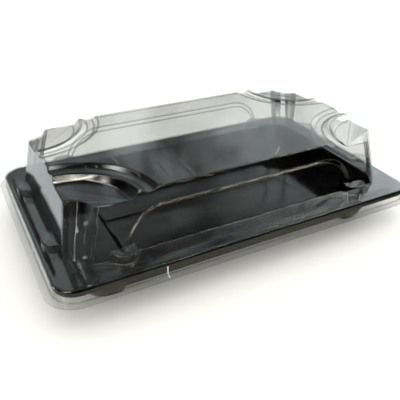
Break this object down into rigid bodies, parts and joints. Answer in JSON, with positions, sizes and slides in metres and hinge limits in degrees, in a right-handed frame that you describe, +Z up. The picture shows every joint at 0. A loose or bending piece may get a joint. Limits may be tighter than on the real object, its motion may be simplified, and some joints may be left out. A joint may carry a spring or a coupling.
{
  "type": "takeaway sushi tray with clear lid",
  "caption": "Empty takeaway sushi tray: a glossy black formed tray with a clear lid that clips over it, with scalloped corners and fan-shaped corner panels.",
  "frame": {"origin": "on the table under the middle of the tray", "axes": "+X along the long side, +Y across towards the back long side, +Z up out of the tray"},
  "size_m": [0.216, 0.1342, 0.0531],
  "materials": {
    "black_plastic": "glossy black vacuum-formed sheet",
    "clear_plastic": "clear glossy vacuum-formed sheet with fine scuffs"
  },
  "bodies": {
    "root": {"tray": "black_plastic", "lid": "clear_plastic"}
  },
  "joints": []
}
